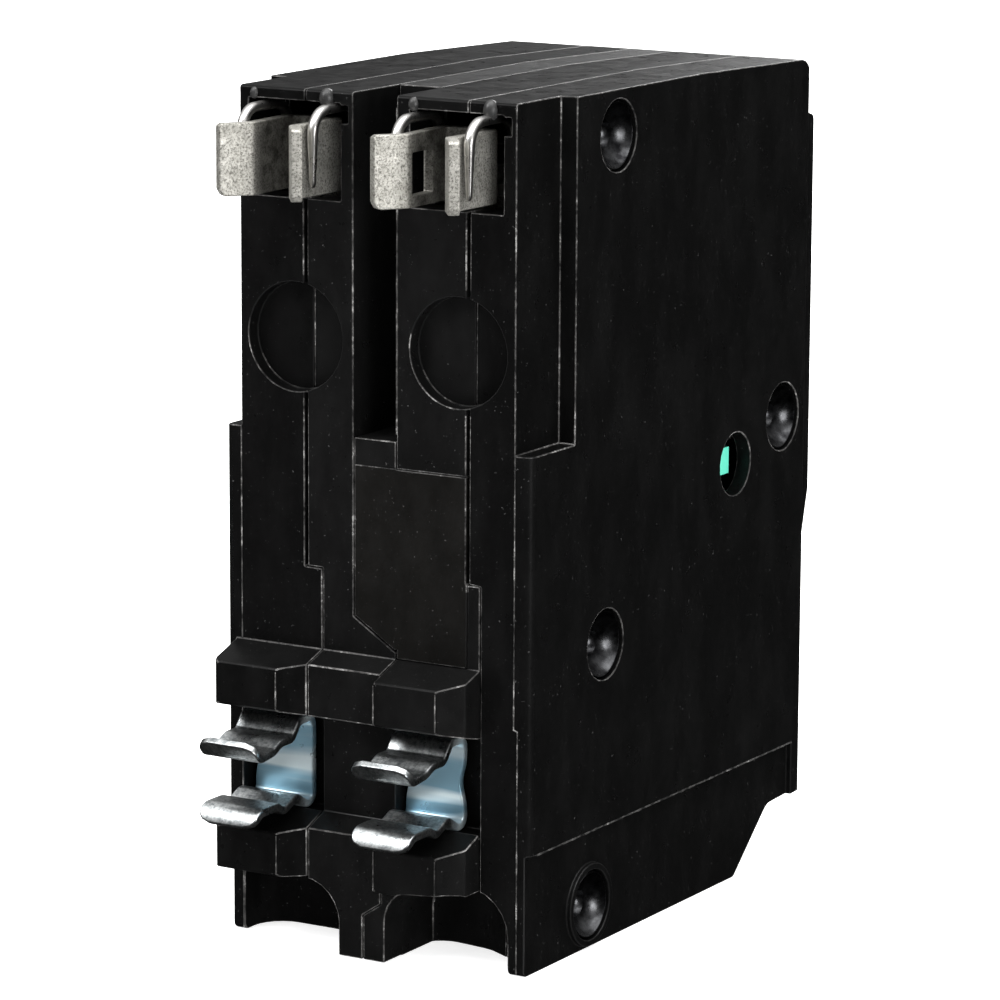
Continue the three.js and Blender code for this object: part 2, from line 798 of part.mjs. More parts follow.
// The spring clip that grips the panel's rail, as one bent strip.
function railClip(left, right) {
  const profile = ribbon(
    [
      [-9.5, 23.3],
      [-7.9, 21.9, 1],
      [-5.7, 22.2, 1.5],
      [-4.2, 22.9, 1.5],
      [-2.1, 22.9, 1],
      [-0.7, 24.6, 0.8],
      [2.1, 24.6, 1],
      [2.1, 15.2, 1],
      [0.6, 15.2, 1],
      [-1.3, 16.3, 1],
      [-3.7, 15.3, 1],
      [-5, 16, 1],
      [-8.7, 16, 1.6],
      [-9.4, 14.4],
    ],
    0.9,
  );
  const middle = (left + right) / 2;
  const half = (right - left) / 2;
  const face = outline([
    [middle - half, 10, 1],
    [middle + half, 10, 1],
    [middle + half, 17.4, 2],
    [middle + half - 0.55, 19.7, 3],
    [middle + half, 22, 2],
    [middle + half, 28, 1],
    [middle - half, 28, 1],
    [middle - half, 22, 2],
    [middle - half + 0.55, 19.7, 3],
    [middle - half, 17.4, 2],
  ]);
  const plan = outline([
    [middle - half, 6],
    [middle - half, -11, 1.2],
    [middle + half, -11, 1.2],
    [middle + half, 6],
  ]);
  const strip = pushed("x", profile, left, right);
  return strip.intersect(pushed("y", face, -12, 6)).intersect(pushed("z", plan, 10, 28));
}

// ---- electronics ----
function circuitBoard() {
  const board = block(-3.8, -2.4, 20.6, 57, 20, 38.4);
  return cut(board, rod("x", 3.2, 30, 28.6, -5, 0, 20));
}

function currentTransformer() {
  return cut(rod("x", 7.4, 30, 28.6, -2.2, 3.6, 20), rod("x", 3, 30, 28.6, -3, 4, 14));
}

function solenoidCoil() {
  const spool = [
    [1.5, 0],
    [3.9, 0],
    [3.9, 1],
    [3.3, 1],
    [3.3, 13],
    [3.9, 13],
    [3.9, 14],
    [1.5, 14],
    [1.5, 0],
  ].map(([radius, along]) => new THREE.Vector2(radius, along));
  return toSolid(new THREE.LatheGeometry(spool, 16).translate(0, 20, 43));
}

function solenoidPlunger() {
  return join(rod("y", 1.2, 0, 43, 14.4, 41.2, 14), rod("y", 2.4, 0, 43, 14.2, 15.6, 18));
}

function testButton() {
  return join(block(-4, 4, 62.4, 67.6, 43.8, 48.8), block(-4.2, 4.2, 62.4, 63.7, 43, 49.6));
}

// ---- assembly ----
const breaker = new THREE.Group();
const pieces = new THREE.Group();
pieces.position.y = -MID_Y;
breaker.add(pieces);

const handleGroup = new THREE.Group();
handleGroup.position.set(0, HANDLE_AXIS.y, HANDLE_AXIS.z);
handleGroup.rotation.x = THREE.MathUtils.degToRad(HANDLE_REST);
pieces.add(handleGroup);

function place(name, solid, material, group = pieces) {
  const mesh = new THREE.Mesh(toGeometry(solid), material);
  mesh.name = name;
  group.add(mesh);
}

Object.entries(mouldings()).forEach(([name, solid]) => {
  place(name, solid, name === "module_frame" ? PANEL_BLACK : BLACK);
});
Object.entries(RIVETS).forEach(([name, centre]) => place(name, rivet(centre), DARK_STEEL));

[-1, 1].forEach((side) => {
  const pole = side < 0 ? "left" : "right";
  const jawX = (side * POLE_PITCH) / 2;
  const armX = side * MECHANISM_X;
  const tripX = side * TERMINAL_X;
  place(pole + "_line_jaw", lineJaw(jawX, side > 0), TINNED);
  place(pole + "_jaw_spring", jawSpring(jawX), STEEL);
  place(pole + "_fixed_contact", fixedContact(jawX), SILVER);
  place(pole + "_contact_arm", contactArm(armX), COPPER);
  place(pole + "_moving_contact", movingContact(armX), SILVER);
  place(pole + "_arm_pin", crossPin(ARM_AXIS, side, 1.2), STEEL);
  place(pole + "_cradle", cradle(armX, side), STEEL);
  place(pole + "_cradle_pin", crossPin(CRADLE_AXIS, side, 1.2), STEEL);
  place(pole + "_toggle_spring", coil("z", armX + side * 2.2, 35, 55.2, 61.8, 0.9, 0.3, 4), STEEL);
  place(pole + "_arc_chute", arcChute(armX), FIBRE);
  place(pole + "_bimetal", bimetal(tripX), SILVER);
  place(pole + "_magnet_yoke", magnetYoke(tripX), DARK_STEEL);
  place(pole + "_armature", armature(tripX), DARK_STEEL);
  place(pole + "_load_strap", loadStrap(tripX), COPPER);
  place(pole + "_load_lug", lug(tripX, 4.5, 35.1, 47, 16.6, 3.4, LUG_SCREW_Z, 2.7), ALUMINIUM);
  place(pole + "_lug_screw", lugScrew(tripX, LUG_SCREW_Z, 2.5, 4.1, 42.6, 50), STEEL);
  place(pole + "_rail_clip", railClip(...(side < 0 ? [-16.6, -9.15] : [2.65, 9.95])), ZINC);
  place(pole + "_handle", handle(armX), BLACK, handleGroup);
});

place("handle_tie", handleTie(), BLACK, handleGroup);
place("handle_shaft", rod("x", 1.5, HANDLE_AXIS.y, HANDLE_AXIS.z, -17, 17, 14), STEEL);
place("trip_bar", tripBar(), TEAL);
place("test_button", testButton(), BUTTON_YELLOW);
place("test_spring", coil("y", 0, 46.3, 57.4, 62.2, 1.4, 0.25, 3), STEEL);
place("circuit_board", circuitBoard(), BOARD_GREEN);
place("control_chip", block(-2.2, -0.8, 40, 48, 22.5, 28), BLACK);
place("varistor", rod("x", 4.6, 51, 33.4, -2.2, 0.8, 24), BLUE);
place("current_transformer", currentTransformer(), FIBRE);
place("solenoid_coil", solenoidCoil(), COPPER);
place("solenoid_plunger", solenoidPlunger(), STEEL);
place("plunger_spring", coil("y", 0, 43, 15.8, 19.8, 1.9, 0.25, 3), STEEL);
place("neutral_lug", lug(0, 4, 36, 46, 15.6, 2.6, LUG_SCREW_Z - 0.2, 1.9), ALUMINIUM);
place("neutral_screw", lugScrew(0, LUG_SCREW_Z - 0.2, 1.7, 3, 42.2, 49), STEEL);

export default breaker;
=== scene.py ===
"""Two-pole ground-fault circuit breaker: the looks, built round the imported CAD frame."""

import json
import math

import bmesh
import bpy
from mathutils import Matrix, Vector

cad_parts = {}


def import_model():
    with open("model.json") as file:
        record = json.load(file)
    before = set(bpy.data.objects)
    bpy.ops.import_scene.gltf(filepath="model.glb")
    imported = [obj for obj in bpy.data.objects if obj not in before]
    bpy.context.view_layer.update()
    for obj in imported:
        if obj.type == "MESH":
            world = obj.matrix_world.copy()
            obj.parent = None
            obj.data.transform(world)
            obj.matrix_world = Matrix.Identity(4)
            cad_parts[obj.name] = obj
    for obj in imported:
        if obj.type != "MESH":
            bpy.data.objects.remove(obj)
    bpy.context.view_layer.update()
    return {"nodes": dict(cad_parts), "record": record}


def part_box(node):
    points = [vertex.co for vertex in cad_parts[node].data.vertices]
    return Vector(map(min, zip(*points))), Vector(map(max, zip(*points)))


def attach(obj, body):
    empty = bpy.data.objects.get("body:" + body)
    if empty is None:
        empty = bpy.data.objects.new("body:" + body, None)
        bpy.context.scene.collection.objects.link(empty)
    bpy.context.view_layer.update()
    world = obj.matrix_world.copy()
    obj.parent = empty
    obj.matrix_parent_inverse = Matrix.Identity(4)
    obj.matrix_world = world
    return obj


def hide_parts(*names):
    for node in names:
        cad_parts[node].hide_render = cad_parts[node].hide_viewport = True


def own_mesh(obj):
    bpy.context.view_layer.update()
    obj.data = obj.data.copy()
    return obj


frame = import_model()
NODES = frame["nodes"]

# ---- driving dimensions: millimetres, Y from the flat back face, Z from the load end ----
MM = 0.001
BACK_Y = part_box("right_cover")[0].y
POLES = {"left": -1, "right": 1}
POLE_PITCH = 19.05
HALF_WIDTH = POLE_PITCH
PANEL_TOP = 53.25
SLOT_LEFT = -2.85
SLOT_RIGHT = 2.55
SLOT_TOP = 91.5
LEDGE_Z = 13.22

# how the CAD nodes' edges are finished, with angles in degrees
WELD = 0.08
FLAT_WITHIN = 1
EDGE_ROUND = 0.12
BEVEL_OVER = 34
SHARP_OVER = 32
FLAT_WEIGHT = 90

# how the bent strips' edges are rounded
STRIP_BEVEL_OVER = 40
JAW_ROUND = 0.16
TAIL_ROUND = 0.15
CLIP_ROUND = 0.2
BRIDGE_ROUND = 0.2

JAW_BOTTOM = 81.9
JAW_TOP = 89.6
JAW_PLATE = 1.2
JAW_WEB = 3.4
JAW_HALF = 2.1 + JAW_PLATE / 2
JAW_THROAT = -5.1
JAW_TIP = -8.1
JAW_FLARE = 2.25
JAW_BULGE = 0.35
JAW_THROAT_BEND = 0.66
JAW_WEB_BEND = 1.2
JAW_LOWER_CORNER = 0.8
JAW_UPPER_CORNER = 0.25
JAW_WINDOW = {"x": (-5, -1.5), "y": (-4.7, -0.4), "z": (83.1, 87.6)}
TAIL_HALF = 2.5
TAIL_BEND = 1.4
TAIL_PATH = [(JAW_WEB + 0.3, 84.8), (9, 84.8, TAIL_BEND), (9, 79, TAIL_BEND), (21, 79)]
# painted shade in each jaw's mouth: where it begins along Y, and over how many mm it deepens
SHADE_FROM = -5.4
SHADE_DEEPENS = 2

CLIP_THICKNESS = 0.9
CLIP_CORNER = 1.5
WAIST_Z = 19.7
WAIST_DEPTH = 0.5
WAIST_LENGTH = 1.6

# how finely bent strips are divided: turn at a bend, and distance between stations
ARC_STEP = math.radians(12)
STATION = 0.4
CLIP_STATION = 0.5
FLASH_STATION = 0.6

# jaw springs: each arch's left and right edge from the pole's middle, and its top
SPRING_ARCHES = {"left": (-5.25, -4.1, 90.7), "right": (3.6, 4.75, 90.95)}
SPRING_THICKNESS = 1.05
SPRING_FRONT = -3.9
SPRING_BACK = 5
SPRING_BEND = 2.5
SPRING_FEET = {"front": 83, "back": 82.6}
SPRING_POINT = 5.5
SPRING_POINT_SLIM = 0.28
SPRING_ROUNDING = 0.85
BRIDGE_REACH = (-5, 4.4)
BRIDGE_HEIGHT = (82.4, 83.8)

COIL_WIRE = 0.18
COIL_TURNS = 3
COIL_STEPS = 24
COIL_SIDES = 10

# rivets: where each one's axis is, as (Y, Z)
RIVETS = {
    "rivet_top": (17.8, 87.9),
    "rivet_front": (56.3, 52),
    "rivet_back": (15.9, 33.3),
    "rivet_bottom": (13.6, 4.9),
}
RIVET_RADIUS = 1.9
RIVET_END = HALF_WIDTH - 0.35
RIVET_SIDES = 48

POCKET_X = 10.1
POCKET_Z = 66.35
POCKET_RADIUS = 5.9
POCKET_FLOOR = 1.64
ARC_PARTS = 24
FLASH = 0.13
FINE_FLASH = 0.1
LEDGE_FLASH = 0.2
PROUD = 0.05

# gate lumps: X and radius; each is stretched upwards by GATE_HEIGHT
GATES = {
    "gate_left": (-6.1, 0.85),
    "gate_right": (13.9, 0.85),
    "gate_left_end": (-15.2, 0.5),
    "gate_right_end": (4.6, 0.6),
}
GATE_HEIGHT = 1.3
BAR_TOP = 92.1


def spot(x, y, z):
    """A place in the row frame from millimetres counted as the CAD counts them."""
    return Vector((x * MM, BACK_Y + y * MM, z * MM))


def on_back(x, z, y):
    """A strip's place, for a path in the plane of the back face."""
    return spot(x, y, z)


def on_side(y, z, x):
    """A strip's place, for a path in a plane along the sides."""
    return spot(x, y, z)


# ---- node-graph helpers ----
class Graph:
    """The node tree of one material, with a Principled shader in it."""

    def __init__(self, name):
        self.material = bpy.data.materials.new(name)
        self.material.use_nodes = True
        self.tree = self.material.node_tree
        self.shader = self.tree.nodes["Principled BSDF"]
        self.place = self.add("ShaderNodeTexCoord").outputs["Object"]

    def add(self, kind, **settings):
        node = self.tree.nodes.new(kind)
        for key, value in settings.items():
            setattr(node, key, value)
        return node

    def link(self, source, target):
        self.tree.links.new(source, target)

    def axes(self):
        """The object's coordinates as three numbers."""
        node = self.add("ShaderNodeSeparateXYZ")
        self.link(self.place, node.inputs[0])
        return node.outputs

    def set(self, **values):
        """Sets the shader's own sockets, named with _ for a space."""
        for key, value in values.items():
            self.shader.inputs[key.replace("_", " ")].default_value = value

    def stretched(self, x, y, z):
        """The object's coordinates, scaled along each axis."""
        mapping = self.add("ShaderNodeMapping")
        mapping.inputs["Scale"].default_value = (x, y, z)
        self.link(self.place, mapping.inputs["Vector"])
        return mapping.outputs["Vector"]

    def noise(self, per_mm, detail=3, rough=0.55, vector=None):
        """Noise from 0 to 1, with about per_mm lumps to the millimetre."""
        node = self.add("ShaderNodeTexNoise")
        self.link(vector or self.place, node.inputs["Vector"])
        node.inputs["Scale"].default_value = per_mm / MM
        node.inputs["Detail"].default_value = detail
        node.inputs["Roughness"].default_value = rough
        return node.outputs["Fac"]

    def ramp(self, source, low, high, start=0.0, end=1.0):
        """source between low and high, as a number that runs from start to end."""
        node = self.add("ShaderNodeMapRange")
        self.link(source, node.inputs["Value"])
        node.inputs["From Min"].default_value = low
        node.inputs["From Max"].default_value = high
        node.inputs["To Min"].default_value = start
        node.inputs["To Max"].default_value = end
        return node.outputs["Result"]

    def math(self, operation, first, second):
        """The result of an operation on two values, each a number or a socket."""
        node = self.add("ShaderNodeMath", operation=operation)
        for socket, value in zip(node.inputs, (first, second)):
            if isinstance(value, (int, float)):
                socket.default_value = value
            else:
                self.link(value, socket)
        return node.outputs["Value"]

    def blend(self, factor, first, second):
        """Two colours, each a tuple or a socket, mixed by factor."""
        node = self.add("ShaderNodeMix", data_type="RGBA")
        sockets = [s for s in node.inputs if s.enabled]
        self.link(factor, sockets[0])
        for socket, value in zip(sockets[1:], (first, second)):
            if isinstance(value, tuple):
                socket.default_value = (*value, 1)
            else:
                self.link(value, socket)
        return next(s for s in node.outputs if s.enabled)

    def colour(self, source):
        self.link(source, self.shader.inputs["Base Color"])

    def roughness(self, source):
        self.link(source, self.shader.inputs["Roughness"])

    def bump(self, height, distance_mm, strength=1.0):
        node = self.add("ShaderNodeBump")
        node.inputs["Distance"].default_value = distance_mm * MM
        node.inputs["Strength"].default_value = strength
        self.link(height, node.inputs["Height"])
        self.link(node.outputs["Normal"], self.shader.inputs["Normal"])


def moulded(name, dark, light, rough, level=0.3, above=None):
    """Moulded plastic: faint flow mottling, a fine grain, dust specks and a varying gloss.
    above is (height in mm, dark, light), for other tones over that height."""
    g = Graph(name)
    g.set(Specular_IOR_Level=level)
    flow = g.noise(0.22, detail=6, rough=0.65, vector=g.stretched(1, 1, 0.45))
    grain = g.noise(4, detail=2)
    streaks = g.ramp(flow, 0.42, 0.72)
    base = g.blend(streaks, dark, light)
    if above:
        height, *tones = above
        over = g.math("GREATER_THAN", g.axes()["Z"], height * MM)
        base = g.blend(over, base, g.blend(streaks, *tones))
    specks = g.ramp(g.noise(2.6, detail=2, rough=0.8), 0.69, 0.76)
    dust = tuple(min(0.6, 3 * c + 0.04) for c in light)
    g.colour(g.blend(specks, base, dust))
    g.roughness(g.ramp(g.noise(0.6, detail=4), 0.3, 0.7, rough - 0.08, rough + 0.1))
    g.bump(g.math("ADD", g.math("MULTIPLY", grain, 0.5), flow), 0.02, 0.5)
    return g.material


def inside(g, low, high):
    """1 where the object's coordinates are between the corners low and high, else 0."""
    result = 1.0
    for along, least, most in zip(g.axes(), low, high):
        above = g.math("GREATER_THAN", along, least)
        below = g.math("LESS_THAN", along, most)
        result = g.math("MULTIPLY", g.math("MULTIPLY", above, below), result)
    return result


def worn_and_highlit_edge(name, dark, middle, light, quiet=()):
    """The flash and worn edges of a moulding, partly painted highlight: grey, with pale chips
    and black gaps. In the quiet boxes the edges are clean and black, with no painted highlight."""
    g = Graph(name)
    g.set(Specular_IOR_Level=0.4)
    # wear and painted highlight: the grey and pale patches along the edges
    wear_and_highlight = g.noise(0.9, detail=5, rough=0.75)
    patches = g.ramp(g.noise(0.12, detail=2), 0.38, 0.6, -0.05, 0.07)
    wear_and_highlight = g.math("ADD", wear_and_highlight, patches)
    for low, high in quiet:
        wear_and_highlight = g.math("SUBTRACT", wear_and_highlight, inside(g, low, high))
    rubbed_and_lit = g.blend(g.ramp(wear_and_highlight, 0.38, 0.56), dark, middle)
    g.colour(g.blend(g.ramp(wear_and_highlight, 0.58, 0.68), rubbed_and_lit, light))
    g.roughness(g.ramp(wear_and_highlight, 0.3, 0.7, 0.4, 0.6))
    g.bump(g.noise(3, detail=3), 0.03, 0.5)
    return g.material


def metal(name, first, second, rough, spread=0.08, per_mm=0.5, bump_mm=0.004):
    """Bare or plated metal with soft patches of tone and a slightly uneven face."""
    g = Graph(name)
    g.set(Metallic=1.0)
    patches = g.noise(per_mm, detail=4, rough=0.6)
    g.colour(g.blend(g.ramp(patches, 0.35, 0.65), first, second))
    gloss = g.noise(per_mm * 2.5, detail=4)
    g.roughness(g.ramp(gloss, 0.3, 0.7, rough - spread, rough + spread))
    g.bump(g.noise(per_mm * 4, detail=3), bump_mm, 0.6)
    return g.material


def etched_tin(name):
    """Dull tin plate, pitted all over, with painted shade between the blades of each jaw, darker
    the deeper in.
    """
    g = Graph(name)
    g.set(Metallic=0.8)
    pits = g.noise(4.2, detail=3, rough=0.75)
    mottle = g.noise(0.5, detail=5, rough=0.65)
    tone = g.blend(g.ramp(mottle, 0.35, 0.65), (0.42, 0.41, 0.37), (0.62, 0.605, 0.56))
    clean = g.blend(g.ramp(pits, 0.44, 0.66), tone, (0.13, 0.125, 0.11))
    # painted shade: patchy darkening inside each jaw's mouth between the blades, growing deeper
    # inward
    painted_shade = 0.0
    for side in POLES.values():
        x = side * POLE_PITCH / 2
        mouth = inside(g, spot(x - 3.25, SHADE_FROM, 80), spot(x + 2.65, 8, 92))
        painted_shade = g.math("ADD", mouth, painted_shade)
    start = spot(0, SHADE_FROM, 0).y
    depth = g.ramp(g.axes()["Y"], start, start + SHADE_DEEPENS * MM, 0.3, 1.0)
    patchy = g.math("MULTIPLY", depth, g.ramp(mottle, 0.35, 0.6, 0.45, 0.9))
    thick = g.math("MULTIPLY", painted_shade, patchy)
    g.colour(g.blend(thick, clean, (0.022, 0.02, 0.015)))
    g.roughness(g.ramp(g.noise(1.5, detail=4), 0.3, 0.7, 0.42, 0.62))
    g.bump(pits, 0.035, 0.6)
    return g.material


def bright_zinc(name):
    """Zinc plate: blue on the web with painted reflection bands across it, spangled and darkened
    in patches on the tongues.
    """
    g = Graph(name)
    # painted reflection: light and dark bands across the web stand in for the room mirrored in
    # it
    bands = g.noise(0.45, detail=2, rough=0.4, vector=g.stretched(0.1, 0.3, 1))
    spangle = g.noise(2.5, detail=3, rough=0.7)
    depth = g.ramp(g.axes()["Y"], spot(0, -1, 0).y, spot(0, 1.2, 0).y)
    web = g.blend(g.ramp(bands, 0.42, 0.58), (0.28, 0.48, 0.6), (0.82, 0.94, 0.98))
    tongue = g.blend(g.ramp(spangle, 0.42, 0.68), (0.62, 0.64, 0.64), (0.26, 0.28, 0.29))
    # darker patches on the tongues
    dark_patches = g.ramp(g.noise(0.7, detail=4, rough=0.7), 0.5, 0.66)
    tongue = g.blend(g.math("MULTIPLY", dark_patches, 0.55), tongue, (0.12, 0.14, 0.15))
    g.colour(g.blend(depth, tongue, web))
    metallic = g.math("SUBTRACT", 1.0, g.math("MULTIPLY", depth, 0.3))
    g.link(metallic, g.shader.inputs["Metallic"])
    g.roughness(g.ramp(g.noise(0.5, detail=2), 0.3, 0.7, 0.26, 0.36))
    return g.material


CASE_TONES = ((0.0034, 0.0034, 0.0034), (0.006, 0.006, 0.006))
COVER_TONES = ((0.0022, 0.0022, 0.0022), (0.0042, 0.0042, 0.0042))
FRAME_TONES = ((0.0036, 0.0034, 0.003), (0.0068, 0.0064, 0.0058))
HANDLE_TONES = ((0.004, 0.004, 0.004), (0.007, 0.007, 0.007))
# the gate lumps' grey, a painted highlight
GATE_HIGHLIGHT_TONES = ((0.02, 0.02, 0.02), (0.06, 0.059, 0.057))
TEAL_TONES = ((0.1, 0.62, 0.45), (0.13, 0.7, 0.52))
YELLOW_TONES = ((0.72, 0.45, 0.02), (0.8, 0.53, 0.04))
GREEN_TONES = ((0.012, 0.09, 0.035), (0.02, 0.13, 0.05))
BLUE_TONES = ((0.015, 0.07, 0.3), (0.02, 0.1, 0.36))
FIBRE_TONES = ((0.24, 0.22, 0.19), (0.32, 0.29, 0.25))
RIVET_TONES = ((0.012, 0.012, 0.013), (0.07, 0.071, 0.074))
SPRING_TONES = ((0.5, 0.49, 0.475), (0.66, 0.65, 0.63))
MATERIALS = {
    "case_black": moulded("case_black", *CASE_TONES, rough=0.34, level=0.08),
    "frame_black": moulded(
        "frame_black", *FRAME_TONES, rough=0.4, level=0.2, above=(PANEL_TOP, *CASE_TONES)
    ),
    "handle_black": moulded("handle_black", *HANDLE_TONES, rough=0.32),
    "rivet_steel": metal("rivet_steel", *RIVET_TONES, rough=0.28, spread=0.06, per_mm=0.7),
    "tinned_copper": etched_tin("tinned_copper"),
    "spring_steel": metal("spring_steel", *SPRING_TONES, rough=0.3, spread=0.04, bump_mm=0.002),
    "silver": metal("silver", (0.7, 0.69, 0.66), (0.8, 0.79, 0.77), rough=0.3),
    "copper": metal("copper", (0.5, 0.24, 0.14), (0.62, 0.32, 0.2), rough=0.35),
    "fibre": moulded("fibre", *FIBRE_TONES, rough=0.75),
    "bimetal": metal("bimetal", (0.5, 0.48, 0.44), (0.6, 0.58, 0.55), rough=0.4),
    "magnet_steel": metal("magnet_steel", (0.12, 0.12, 0.12), (0.2, 0.2, 0.2), rough=0.45),
    "lug_aluminium": metal("lug_aluminium", (0.55, 0.56, 0.57), (0.68, 0.69, 0.7), rough=0.38),
    "screw_steel": metal("screw_steel", (0.45, 0.46, 0.47), (0.6, 0.61, 0.62), rough=0.3),
    "zinc": bright_zinc("zinc"),
    "trip_teal": moulded("trip_teal", *TEAL_TONES, rough=0.45, level=0.5),
    "button_yellow": moulded("button_yellow", *YELLOW_TONES, rough=0.4, level=0.5),
    "board_green": moulded("board_green", *GREEN_TONES, rough=0.4, level=0.5),
    "varistor_blue": moulded("varistor_blue", *BLUE_TONES, rough=0.35, level=0.5),
}
COVER_BLACK = moulded("cover_black", *COVER_TONES, rough=0.34, level=0.08)
# the gate lumps' grey is a painted highlight on the small bumps
GATE_HIGHLIGHT_GREY = moulded("gate_highlight_grey", *GATE_HIGHLIGHT_TONES, rough=0.4, level=0.5)

# the case's places whose edges stay clean and black, with no wear and no painted highlight:
# pockets, rail channel, panel's side, both sides below the ledge
QUIET = [
    (spot(-16.6, -1, 59.8), spot(-3.2, 2.4, 73)),
    (spot(3.2, -1, 59.8), spot(16.6, 2.4, 73)),
    (spot(-14, -1, 13.8), spot(3, 9, 26)),
    (spot(11, -1, 30), spot(11.8, 4, 41)),
    (spot(17.9, -1, -1), spot(20, 70, 13.3)),
    (spot(-20, -1, -1), spot(-17.9, 70, 13.3)),
]
# edge and flash tones: their grey and pale are partly wear and flash, partly painted highlight
EDGE_TONES = ((0.006, 0.006, 0.006), (0.06, 0.058, 0.056), (0.24, 0.235, 0.23))
FLASH_AND_HIGHLIGHT_TONES = ((0.006, 0.006, 0.006), (0.05, 0.049, 0.047), (0.22, 0.215, 0.21))
EDGE = worn_and_highlit_edge("case_edge", *EDGE_TONES, QUIET)
FLASH_AND_HIGHLIGHT = worn_and_highlit_edge("case_flash_and_highlight", *FLASH_AND_HIGHLIGHT_TONES)
COVERS = ("left_cover", "right_cover")
SHELLS = (*COVERS, "left_case", "module_frame", "right_case")


# ---- finish on the CAD nodes ----
def smooth_by_angle():
    """A modifier group that shades smooth except across edges sharper than its angle."""
    group = bpy.data.node_groups.new("smooth_by_angle", "GeometryNodeTree")
    group.interface.new_socket("Geometry", in_out="INPUT", socket_type="NodeSocketGeometry")
    group.interface.new_socket("Geometry", in_out="OUTPUT", socket_type="NodeSocketGeometry")
    start = group.nodes.new("NodeGroupInput")
    end = group.nodes.new("NodeGroupOutput")
    faces = group.nodes.new("GeometryNodeSetShadeSmooth")
    faces.domain = "FACE"
    edges = group.nodes.new("GeometryNodeSetShadeSmooth")
    edges.domain = "EDGE"
    edges.inputs["Shade Smooth"].default_value = False
    angle = group.nodes.new("GeometryNodeInputMeshEdgeAngle")
    sharp = group.nodes.new("FunctionNodeCompare")
    sharp.data_type = "FLOAT"
    sharp.operation = "GREATER_THAN"
    sharp.inputs["B"].default_value = math.radians(SHARP_OVER)
    group.links.new(start.outputs[0], faces.inputs["Geometry"])
    group.links.new(faces.outputs[0], edges.inputs["Geometry"])
    group.links.new(angle.outputs["Unsigned Angle"], sharp.inputs["A"])
    group.links.new(sharp.outputs[0], edges.inputs["Selection"])
    group.links.new(edges.outputs[0], end.inputs[0])
    return group


SMOOTH = smooth_by_angle()


def shade(obj):
    """Smooth shading whose large flat faces stay flat right up to their rounded edges."""
    obj.modifiers.new("smooth", "NODES").node_group = SMOOTH
    normals = obj.modifiers.new("normals", "WEIGHTED_NORMAL")
    normals.weight = FLAT_WEIGHT
    normals.keep_sharp = True


def bevel(obj, width_mm, segments=2, material=-1, angle=BEVEL_OVER, clamp=True):
    """Rounds the edges sharper than angle, and paints them if a material's index is given."""
    modifier = obj.modifiers.new("bevel", "BEVEL")
    modifier.width = width_mm * MM
    modifier.segments = segments
    modifier.limit_method = "ANGLE"
    modifier.angle_limit = math.radians(angle)
    modifier.material = material
    modifier.use_clamp_overlap = clamp
    modifier.miter_outer = "MITER_ARC"
    modifier.loop_slide = False


def dress_node(name, material, edge=None):
    """Welds the node's triangles, joins its flat faces, rounds its edges and paints it."""
    node = NODES[name]
    node.data.materials.clear()
    node.data.materials.append(material)
    if edge:
        node.data.materials.append(edge)
    node.modifiers.new("weld", "WELD").merge_threshold = WELD * MM
    flat = node.modifiers.new("flat", "DECIMATE")
    flat.decimate_type = "DISSOLVE"
    flat.angle_limit = math.radians(FLAT_WITHIN)
    bevel(node, EDGE_ROUND, material=1 if edge else -1, clamp=not edge)
    shade(node)


for part in frame["record"]["subparts"]:
    finish = COVER_BLACK if part["node"] in COVERS else MATERIALS[part["material_slot"]]
    # the shells' rounded edges take the edge material, whose grey and pale are partly painted
    # highlight
    dress_node(part["node"], finish, EDGE if part["node"] in SHELLS else None)


# ---- mesh helpers for the pieces made here ----
def placed(name, data):
    """A new object in the scene that shows data."""
    obj = bpy.data.objects.new(name, data)
    bpy.context.scene.collection.objects.link(obj)
    return obj


def mesh_of(bm, name):
    """The mesh of bm, which is freed."""
    mesh = bpy.data.meshes.new(name)
    bm.to_mesh(mesh)
    bm.free()
    return mesh


def make_piece(name, mesh, body, slot, *replaced):
    """A piece with the finish of its slot, riding on body in the place of the replaced nodes."""
    piece = placed(name, mesh)
    mesh.materials.append(MATERIALS[slot])
    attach(piece, body)
    if replaced:
        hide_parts(*replaced)
    return piece


def rounded(corners):
    """A path through corners given as (a, b) or (a, b, radius), with round corners as arcs."""
    points = [Vector(c[:2]) for c in corners]
    path = [points[0]]
    for i in range(1, len(points) - 1):
        radius = corners[i][2] if len(corners[i]) > 2 else 0
        back = (points[i - 1] - points[i]).normalized()
        ahead = (points[i + 1] - points[i]).normalized()
        half = back.angle(ahead) / 2
        straight = half > math.radians(89.5)
        if radius == 0 or straight:
            path.append(points[i])
            continue
        centre = points[i] + (back + ahead).normalized() * radius / math.sin(half)
        start = points[i] + back * radius / math.tan(half) - centre
        turn = math.pi - 2 * half
        sign = 1 if back.x * ahead.y - back.y * ahead.x < 0 else -1
        steps = max(2, math.ceil(turn / ARC_STEP))
        for k in range(steps + 1):
            path.append(centre + Matrix.Rotation(sign * turn * k / steps, 2) @ start)
    path.append(points[-1])
    return path


def spaced(path, longest):
    """The path with stations added, so that none is farther from the next than longest."""
    out = [path[0]]
    for start, end in zip(path, path[1:]):
        length = (end - start).length
        if length < 1e-6:
            continue
        count = max(1, math.ceil(length / longest))
        out += [start.lerp(end, k / count) for k in range(1, count + 1)]
    return out


